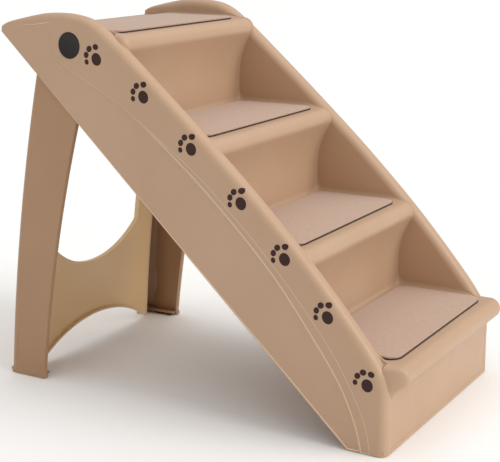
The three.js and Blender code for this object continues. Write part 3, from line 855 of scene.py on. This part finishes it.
def makeCrossPanel(bm):
    kit = leg
    half, edge = kit["openingHalf"], kit["columnIn"]
    start = math.degrees(math.acos(half / kit["opening"]))
    points = [(edge, kit["panelHigh"]), (half, kit["panelHigh"])]
    points += [around((0, kit["openingHeight"]), kit["opening"], -start - (180 - 2 * start) * i / 40)
               for i in range(41)]
    points += [(-half, kit["panelHigh"]), (-edge, kit["panelHigh"])]
    points += [(-edge, baseZ), (-kit["archHalf"], baseZ)]
    radius = (kit["archHalf"] ** 2 + kit["arch"] ** 2) / (2 * kit["arch"])
    centre = (0, baseZ + kit["arch"] - radius)
    reach = math.degrees(math.asin(kit["archHalf"] / radius))
    points += [around(centre, radius, 90 + reach - 2 * reach * i / 40) for i in range(1, 40)]
    points += [(kit["archHalf"], baseZ), (edge, baseZ)]
    verts = [bm.verts.new((x, 0, z)) for x, z in points]
    bm.faces.new(verts)
    for i in range(1, 28):
        height = baseZ + (kit["panelHigh"] - baseZ) * i / 28
        bmesh.ops.bisect_plane(bm, geom=bm.verts[:] + bm.edges[:] + bm.faces[:], plane_co=(0, 0, height),
                               plane_no=(0, 0, 1))
    rims = {"opening": [], "arch": []}
    for e in [e for e in bm.edges if e.is_boundary]:
        middle = (e.verts[0].co + e.verts[1].co) / 2
        above = middle.z - baseZ
        if abs(middle.x) < half + 0.5 and above > kit["arch"] + 8:
            rims["opening"].append(e)
        elif abs(middle.x) < kit["archHalf"] - 0.5 and 3.5 < above < kit["arch"] + 2:
            rims["arch"].append(e)
    for v in bm.verts:
        y, t = rearAtHeight(v.co.z)
        v.co.y = y - kit["panelTop"] - (kit["panelFoot"] - kit["panelTop"]) * t
    made = bmesh.ops.extrude_edge_only(bm, edges=rims["opening"])
    bmesh.ops.translate(bm, vec=(0, kit["flange"] + kit["wall"], 0), verts=newVerts(made))
    made = bmesh.ops.extrude_edge_only(bm, edges=rims["arch"])
    bmesh.ops.translate(bm, vec=(0, -kit["flange"], 0), verts=newVerts(made))


def makeLeg():
    kit = leg
    bm = bmesh.new()
    makeArm(bm)
    bmesh.ops.mirror(bm, geom=bm.verts[:] + bm.edges[:] + bm.faces[:], axis="X", merge_dist=0.0)
    bmesh.ops.remove_doubles(bm, verts=bm.verts, dist=0.002)
    bmesh.ops.recalc_face_normals(bm, faces=bm.faces)
    for side in (1, -1):
        nearest = min(bm.faces, key=lambda f: (f.calc_center_median()
                                               - Vector((side * kit["outer"], pivot.y + 90, 200))).length)
        if nearest.normal.x * side < 0:
            bmesh.ops.reverse_faces(bm, faces=[f for f in bm.faces if f.calc_center_median().x * side > 0])
    # painted shade: the arms get the darker copy of the plastic
    piece = keepPiece("legArms", bm, "leg", paintedShadeLegPlastic, ["leg_frame"],
                      sharp=50, highlightCoat=paintedHighlightPlastic)
    giveWall(piece, kit["wall"], kit["edgeRound"])

    bm = bmesh.new()
    makeCrossPanel(bm)
    bmesh.ops.recalc_face_normals(bm, faces=bm.faces)
    faceWay(bm, (0, pivot.y + 110, 80), (0, -1, 0))
    # painted light: the cross panel gets the much paler copy of the plastic
    piece = keepPiece("legPanel", bm, "leg", paintedLightPanelPlastic, highlightCoat=paintedHighlightPlastic)
    giveWall(piece, kit["wall"], kit["edgeRound"])

    bm = bmesh.new()
    inner, face = kit["hubInnerFace"], kit["hubFace"]
    outer, rim = kit["outer"] - 1, kit["hubOut"] - 0.4
    spinPiece(bm, [(face, kit["hubIn"]), (outer, kit["hubIn"]), (outer, rim), (inner + 0.6, rim),
                   (inner, rim - 0.6), (inner, 5.2), (inner + 1.8, 5.2), (inner + 1.8, 20.0),
                   (face, 20.0), (face, kit["hubIn"])])
    footTop = mmBox("rear_foot_right")[1].z + gap
    addBlock(bm, (158.8, pivot.y + kit["footFront"] + 2, footTop),
             (kit["outer"] - 1.5, pivot.y + kit["footRear"] - 2, footTop + 3))
    bmesh.ops.mirror(bm, geom=bm.verts[:] + bm.edges[:] + bm.faces[:], axis="X", merge_dist=0.0)
    bmesh.ops.recalc_face_normals(bm, faces=bm.faces)
    # painted shade: the hubs get the darker copy of the plastic
    keepPiece("legHubs", bm, "leg", paintedShadeLegPlastic)


makeLeg()
print("leg made")


# felt pads lie on dark rubber backings
pads = {"corner": 16.0, "backingCorner": 17.0, "softEdge": 0.8, "backingEdge": 0.25}


def roundedMat(bm, low, high, corner):
    # a plate with round corners, from its underside to its top
    middle = (low + high) / 2
    made = bmesh.ops.create_grid(bm, x_segments=1, y_segments=1, size=0.5,
                                 matrix=Matrix.Translation((middle.x, middle.y, low.z))
                                 @ Matrix.Diagonal((high.x - low.x, high.y - low.y, 1, 1)))["verts"]
    bmesh.ops.bevel(bm, geom=made, offset=corner, offset_type="OFFSET", segments=9, profile=0.5,
                    affect="VERTICES", material=-1)
    bottom = bm.faces[:]
    bm.normal_update()
    top = bmesh.ops.extrude_face_region(bm, geom=bottom, use_keep_orig=True)
    bmesh.ops.translate(bm, vec=(0, 0, high.z - low.z), verts=newVerts(top))
    bmesh.ops.recalc_face_normals(bm, faces=bm.faces)
    return next(g for g in top["geom"] if isinstance(g, bmesh.types.BMFace))


def softenEdge(bm, lid, offset, segments):
    bmesh.ops.bevel(bm, geom=lid.edges[:], offset=offset, segments=segments, profile=0.5, affect="EDGES",
                    material=-1)


def makePads():
    for k in range(4):
        low, high = mmBox(f"tread_pad_{k + 1}")
        bm = bmesh.new()
        softenEdge(bm, roundedMat(bm, low, high, pads["corner"]), pads["softEdge"], 3)
        keepPiece(f"feltPad{k + 1}", bm, "stair", tanFelt, [f"tread_pad_{k + 1}"], sharp=60)
        low, high = mmBox(f"pad_backing_{k + 1}")
        bm = bmesh.new()
        softenEdge(bm, roundedMat(bm, low, high, pads["backingCorner"]), pads["backingEdge"], 2)
        keepPiece(f"padBacking{k + 1}", bm, "stair", backingRubber, [f"pad_backing_{k + 1}"])


makePads()
print("pads made")


# push buttons on the hinge line, and what they hold
hub = {
    "stem": 4.6, "dish": 1.0, "edge": 0.9,
    "wire": 1.1, "coil": 9.5, "turns": 3,
}


def makeHub(name, side):
    cap = buttonHigh.x
    radius = (buttonHigh.z - buttonLow.z) / 2
    bm = bmesh.new()
    # dished cap with a rounded rim, on its stem
    dish = hub["dish"]
    profile = [(cap - dish, 0.0), (cap - dish * 0.92, radius * 0.3), (cap - dish * 0.66, radius * 0.58),
               (cap - 0.25, radius * 0.84), (cap - 0.03, radius - 1.9)]
    for i in range(5):
        a = math.radians(90 * i / 4)
        profile.append((cap - hub["edge"] * (1 - math.cos(a)), radius - hub["edge"] * (1 - math.sin(a))))
    profile += [(cap - 8.3, radius), (cap - 8.3, hub["stem"]), (buttonLow.x + 0.4, hub["stem"]),
                (buttonLow.x, hub["stem"] - 0.4), (buttonLow.x, 0.0)]
    spinPiece(bm, profile, 64)
    if side < 0:
        onOtherSide(bm)
    node = f"release_button_{name}"
    keepPiece(f"pushButton{name.capitalize()}", bm, f"button_{name}", buttonPlastic, [node])

    # coil spring behind the lock gear
    low, high = mmBox(f"button_spring_{name}")
    inner, outer = sorted((abs(low.x), abs(high.x)))
    bm = bmesh.new()
    ring = bmesh.ops.create_circle(bm, segments=10, radius=hub["wire"] - 0.1, matrix=Matrix.Translation(
        (inner + hub["wire"], pivot.y, pivot.z + hub["coil"])) @ Matrix.Rotation(math.pi / 2, 4, "Z")
        @ Matrix.Rotation(math.pi / 2, 4, "X"))["verts"]
    count = 28 * hub["turns"]
    rising = (outer - inner - 2 * hub["wire"]) / count
    wire = list({e for v in ring for e in v.link_edges})
    bmesh.ops.spin(bm, geom=ring + wire, cent=(0, pivot.y, pivot.z), axis=(1, 0, 0), dvec=(rising, 0, 0),
                   angle=2 * math.pi * hub["turns"], steps=count, use_merge=False)
    bmesh.ops.holes_fill(bm, edges=[e for e in bm.edges if e.is_boundary])
    bmesh.ops.recalc_face_normals(bm, faces=bm.faces)
    if side < 0:
        onOtherSide(bm)
    spring = keepPiece(f"coilSpring{name.capitalize()}", bm, "stair", zincSteel,
                       [f"button_spring_{name}"])
    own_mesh(spring)

    # pan-head screw with a small recess, on a rounded washer
    low, high = mmBox(f"retaining_screw_{name}")
    inner, outer = sorted((abs(low.x), abs(high.x)))
    bm = bmesh.new()
    head = [(inner + 1.0, 0.0), (inner + 1.0, 1.2), (inner, 1.6), (inner + 0.15, 2.8), (inner + 0.8, 4.0),
            (inner + 1.5, 4.45), (inner + 2.6, 4.5), (inner + 2.6, 1.9)]
    turns = int((outer - inner - 4) / 0.8)
    for i in range(turns):
        x = inner + 2.8 + 0.8 * i
        head += [(x, 1.55), (x + 0.4, 1.9)]
    head += [(outer - 0.8, 1.4), (outer, 0.0)]
    spinPiece(bm, head, 32)
    if side < 0:
        onOtherSide(bm)
    keepPiece(f"panScrew{name.capitalize()}", bm, f"button_{name}", zincSteel,
              [f"retaining_screw_{name}"])

    low, high = mmBox(f"retaining_washer_{name}")
    inner, outer = sorted((abs(low.x), abs(high.x)))
    radius = (high.z - low.z) / 2
    bm = bmesh.new()
    spinPiece(bm, [(inner, 2.2), (inner, radius - 0.4), (inner + 0.4, radius), (outer, radius), (outer, 2.2),
                   (inner, 2.2)], 40)
    if side < 0:
        onOtherSide(bm)
    keepPiece(f"flatWasher{name.capitalize()}", bm, f"button_{name}", zincSteel,
              [f"retaining_washer_{name}"])


for sideName, sideSign in (("right", 1), ("left", -1)):
    makeHub(sideName, sideSign)
    gear = bpy.data.objects[f"lock_gear_{sideName}"]
    for place in gear.material_slots:
        place.material = gearNylon
print("buttons and springs made")


# rubber feet under the body and the leg
feet = {"corner": 3.0, "edge": 0.5, "grooves": 5, "grooveWidth": 1.6, "grooveDepth": 0.9}


def makeFoot(node, name, body):
    low, high = mmBox(node)
    bm = bmesh.new()
    softenEdge(bm, roundedMat(bm, low, high, feet["corner"]), feet["edge"], 2)
    # grooves across the sole
    length = high.y - low.y
    for i in range(1, feet["grooves"] + 1):
        middle = low.y + length * i / (feet["grooves"] + 1)
        for edge in (-0.5, 0.5):
            bmesh.ops.bisect_plane(bm, geom=bm.verts[:] + bm.edges[:] + bm.faces[:],
                                   plane_co=(0, middle + edge * feet["grooveWidth"], 0), plane_no=(0, 1, 0))
    spacing = length / (feet["grooves"] + 1)
    sole = []
    for f in bm.faces:
        centre = f.calc_center_median()
        if f.normal.z < -0.9 and centre.z < low.z + 0.01:
            place = (centre.y - low.y) / spacing
            if abs(place - round(place)) * spacing < 0.4 and 1 <= round(place) <= feet["grooves"]:
                sole.append(f)
    bmesh.ops.inset_individual(bm, faces=sole, thickness=0.35, depth=-feet["grooveDepth"])
    keepPiece(name, bm, body, soleRubber, [node])


for sideName in ("right", "left"):
    makeFoot(f"front_foot_{sideName}", f"frontSole{sideName.capitalize()}", "stair")
    makeFoot(f"rear_foot_{sideName}", f"rearSole{sideName.capitalize()}", "leg")
print("rubber feet made")


# paw marks are printed down each side
paws = {
    "ink": 0.14,  # film thickness, drawn thicker than the real 0.02 so that it clears the moulding's facets
    "sink": 0.05,  # its underside in the plastic
    "places": [(418.2, 461.4), (345.7, 417.6), (274.5, 357), (202, 295.5), (140, 232.5), (80, 167.5),
               (25.2, 90.2)],  # of the main pads, from the foot of the lowest riser
    "turns": [35, 39, 42, 39, 39, 42, 56],
    "main": (7.6, 8.3),
    "toes": [(-50, 16.2, 3.4), (-18, 16.8, 4.0), (14, 17.0, 4.2), (52, 15.8, 4.1)],  # turn, reach and radius
}


def addBlob(bm, y, z, across, along, turn):
    place = Matrix.Translation((panelOut - paws["sink"], y, z)) @ Matrix.Rotation(math.radians(turn), 4, "X")
    shape = place @ Matrix.Rotation(math.pi / 2, 4, "Y") @ Matrix.Diagonal((along, across, 1, 1))
    disc = bmesh.ops.create_circle(bm, cap_ends=True, cap_tris=True, segments=24, radius=1.0, matrix=shape)
    spokes = list({e for v in disc["verts"] for e in v.link_edges})
    made = bmesh.ops.subdivide_edges(bm, edges=spokes, cuts=3, use_grid_fill=True)["geom"]
    faces = list({g for g in made if isinstance(g, bmesh.types.BMFace)})
    top = bmesh.ops.extrude_face_region(bm, geom=faces, use_keep_orig=True)
    bmesh.ops.translate(bm, vec=(paws["sink"] + paws["ink"], 0, 0), verts=newVerts(top))


def makePaws(name, side):
    bm = bmesh.new()
    for (y, z), turn in zip(paws["places"], paws["turns"]):
        centre = (risers[0] + y, baseZ - 1 + z)
        addBlob(bm, *centre, *paws["main"], turn - 60)
        for spread, reach, radius in paws["toes"]:
            toe = around(centre, reach, turn + spread)
            addBlob(bm, toe.x, toe.y, radius * 0.93, radius * 1.05, turn + spread)
    bmesh.ops.recalc_face_normals(bm, faces=bm.faces)
    # the ink follows the round of the panel's edge
    edge, roll = smoothLine(panelEdge(), 6), panels["roll"]
    for vert in bm.verts:
        off = min((vert.co.yz - point).length for point in edge)
        if off < roll:
            vert.co.x -= roll * (1 - math.sqrt(max(1 - ((roll - off) / roll) ** 2, 0)))
    if side < 0:
        onOtherSide(bm)
    keepPiece(name, bm, "stair", printInk)


makePaws("pawPrintsRight", 1)
makePaws("pawPrintsLeft", -1)
print("paw marks made")
